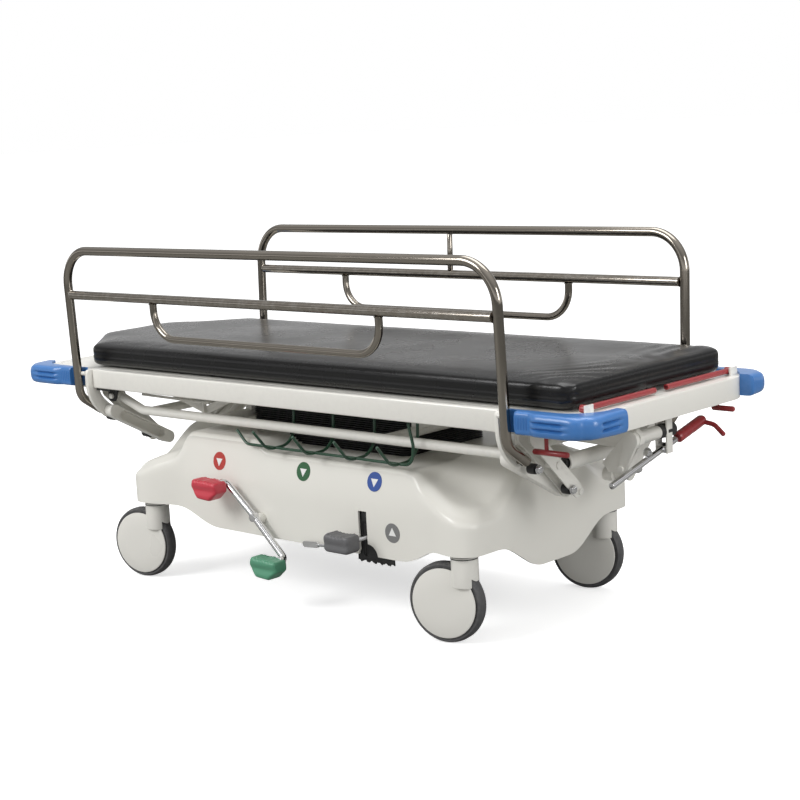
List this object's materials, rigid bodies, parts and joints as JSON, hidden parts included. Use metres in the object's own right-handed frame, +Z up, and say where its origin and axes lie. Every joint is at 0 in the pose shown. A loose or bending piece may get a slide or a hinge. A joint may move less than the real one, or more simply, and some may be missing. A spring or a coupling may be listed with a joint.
{
  "type": "hospital stretcher trolley",
  "caption": "Height-adjustable hospital transport stretcher: tilting padded litter with fold-down tubular side rails on a moulded base with swivel casters and foot pedals.",
  "frame": {"origin": "on the floor, at the centre of the trolley's footprint", "axes": "+X towards the foot end with the push handles, +Y towards the far side with no pedals, +Z up"},
  "size_m": [2.08, 0.7842, 0.9605],
  "materials": {
    "moulding": "warm off-white moulded cover, fine texture, semi-matte",
    "frame_enamel": "off-white enamel",
    "undercarriage": "grey enamel",
    "stainless": "polished stainless tube",
    "chrome": "bright chrome plate",
    "bumper_blue": "blue moulded bumper, semi-gloss",
    "mattress_vinyl": "black coated vinyl cover, soft sheen",
    "tyre_grey": "grey polyurethane tyre",
    "black_rubber": "matte black rubber",
    "brake_red": "red moulded pedal pad",
    "steer_green": "green moulded pedal pad",
    "pedal_grey": "grey moulded pedal pad",
    "handle_red": "dark red dipped handle",
    "wire_green": "dark green coated wire"
  },
  "bodies": {
    "base": {"base_hood": "moulding", "chassis_frame": "undercarriage", "pedal_guard": "black_rubber", "rocker_boss": "moulding"},
    "rocker": {"rocker_bar": "chrome", "brake_pad": "brake_red", "steer_pad": "steer_green"},
    "pump": {"pump_arm": "chrome", "pump_pad": "pedal_grey"},
    "caster_head_near": {"caster_housing_head_near": "moulding"},
    "wheel_head_near": {"caster_wheel_head_near": "tyre_grey"},
    "caster_head_far": {"caster_housing_head_far": "moulding"},
    "wheel_head_far": {"caster_wheel_head_far": "tyre_grey"},
    "caster_foot_near": {"caster_housing_foot_near": "moulding"},
    "wheel_foot_near": {"caster_wheel_foot_near": "tyre_grey"},
    "caster_foot_far": {"caster_housing_foot_far": "moulding"},
    "wheel_foot_far": {"caster_wheel_foot_far": "tyre_grey"},
    "lift": {"subframe": "frame_enamel", "lift_ram_head": "chrome", "lift_ram_foot": "chrome", "lift_bellows": "black_rubber", "cylinder_rack": "wire_green"},
    "litter": {"litter_side_near": "frame_enamel", "litter_side_far": "frame_enamel", "litter_end_head": "frame_enamel", "litter_end_foot": "frame_enamel", "litter_deck": "frame_enamel", "mattress": "mattress_vinyl", "bumper_head_near": "bumper_blue", "bumper_head_far": "bumper_blue", "bumper_foot_near": "bumper_blue", "bumper_foot_far": "bumper_blue", "rail_bracket_head_near": "frame_enamel", "rail_bracket_head_far": "frame_enamel", "rail_bracket_foot_near": "frame_enamel", "rail_bracket_foot_far": "frame_enamel", "rail_carrier_head_near": "frame_enamel", "rail_carrier_head_far": "frame_enamel", "rail_carrier_foot_near": "frame_enamel", "rail_carrier_foot_far": "frame_enamel", "tilt_lug_near": "black_rubber", "tilt_lug_far": "black_rubber", "backrest_links_near": "frame_enamel", "backrest_links_far": "frame_enamel", "foot_cross_tube": "frame_enamel", "foot_beam": "frame_enamel", "tilt_hanger": "frame_enamel"},
    "rail_near": {"rail_frame_near": "stainless", "rail_mid_bar_near": "stainless", "rail_loop_near": "stainless"},
    "rail_far": {"rail_frame_far": "stainless", "rail_mid_bar_far": "stainless", "rail_loop_far": "stainless", "rail_strut_far": "stainless"},
    "tilt_lever": {"tilt_lever": "chrome", "tilt_grip": "handle_red"},
    "push_handle_near": {"push_handle_near": "handle_red"},
    "release_pull_near": {"release_pull_near": "handle_red"},
    "push_handle_far": {"push_handle_far": "handle_red"},
    "release_pull_far": {"release_pull_far": "handle_red"}
  },
  "joints": [
    {"name": "swivel_head_near", "type": "hinge", "parent": "base", "child": "caster_head_near", "pos_m": [-0.58, -0.286, 0.2], "axis": [0, 0, 1], "continuous": true},
    {"name": "roll_head_near", "type": "hinge", "parent": "caster_head_near", "child": "wheel_head_near", "pos_m": [-0.63086, -0.29681, 0.1015], "axis": [-0.2079, 0.9781, 0], "continuous": true},
    {"name": "swivel_head_far", "type": "hinge", "parent": "base", "child": "caster_head_far", "pos_m": [-0.58, 0.286, 0.2], "axis": [0, 0, 1], "continuous": true},
    {"name": "roll_head_far", "type": "hinge", "parent": "caster_head_far", "child": "wheel_head_far", "pos_m": [-0.63086, 0.27519, 0.1015], "axis": [-0.2079, 0.9781, 0], "continuous": true},
    {"name": "swivel_foot_near", "type": "hinge", "parent": "base", "child": "caster_foot_near", "pos_m": [0.58, -0.286, 0.2], "axis": [0, 0, 1], "continuous": true},
    {"name": "roll_foot_near", "type": "hinge", "parent": "caster_foot_near", "child": "wheel_foot_near", "pos_m": [0.52914, -0.29681, 0.1015], "axis": [-0.2079, 0.9781, 0], "continuous": true},
    {"name": "swivel_foot_far", "type": "hinge", "parent": "base", "child": "caster_foot_far", "pos_m": [0.58, 0.286, 0.2], "axis": [0, 0, 1], "continuous": true},
    {"name": "roll_foot_far", "type": "hinge", "parent": "caster_foot_far", "child": "wheel_foot_far", "pos_m": [0.52914, 0.27519, 0.1015], "axis": [-0.2079, 0.9781, 0], "continuous": true},
    {"name": "brake_rocker", "type": "hinge", "parent": "base", "child": "rocker", "pos_m": [-0.118, -0.329, 0.233], "axis": [0, -1, 0], "range_deg": [0, 40]},
    {"name": "pump_pedal", "type": "hinge", "parent": "base", "child": "pump", "pos_m": [0.257, -0.17, 0.226], "axis": [1, 0, 0], "range_deg": [-10, 12], "stiffness_Nm_per_rad": 60},
    {"name": "lift_height", "type": "slide", "parent": "base", "child": "lift", "axis": [0, 0, 1], "range_m": [0, 0.22], "deforming": ["lift_bellows"]},
    {"name": "litter_tilt", "type": "hinge", "parent": "lift", "child": "litter", "pos_m": [-0.735, 0, 0.52], "axis": [0, -1, 0], "range_deg": [0, 12]},
    {"name": "rail_fold_near", "type": "hinge", "parent": "litter", "child": "rail_near", "pos_m": [0, -0.295, 0.476], "axis": [1, 0, 0], "range_deg": [0, 130]},
    {"name": "rail_fold_far", "type": "hinge", "parent": "litter", "child": "rail_far", "pos_m": [0, 0.295, 0.476], "axis": [-1, 0, 0], "range_deg": [0, 130]},
    {"name": "tilt_lever_pull", "type": "hinge", "parent": "litter", "child": "tilt_lever", "pos_m": [0.93, 0.062, 0.458], "axis": [1, 0, 0], "range_deg": [0, 10], "stiffness_Nm_per_rad": 20},
    {"name": "push_handle_near_lift", "type": "hinge", "parent": "litter", "child": "push_handle_near", "pos_m": [0.966, -0.298, 0.6135], "axis": [1, 0, 0], "range_deg": [0, 90]},
    {"name": "push_handle_far_lift", "type": "hinge", "parent": "litter", "child": "push_handle_far", "pos_m": [0.966, 0.298, 0.6135], "axis": [-1, 0, 0], "range_deg": [0, 90]},
    {"name": "release_near_turn", "type": "hinge", "parent": "litter", "child": "release_pull_near", "pos_m": [0.849, -0.29, 0.501], "axis": [0, 0, 1], "range_deg": [0, 25], "stiffness_Nm_per_rad": 2},
    {"name": "release_far_turn", "type": "hinge", "parent": "litter", "child": "release_pull_far", "pos_m": [0.954, 0.262, 0.525], "axis": [0, 0, 1], "range_deg": [0, 25], "stiffness_Nm_per_rad": 2}
  ]
}
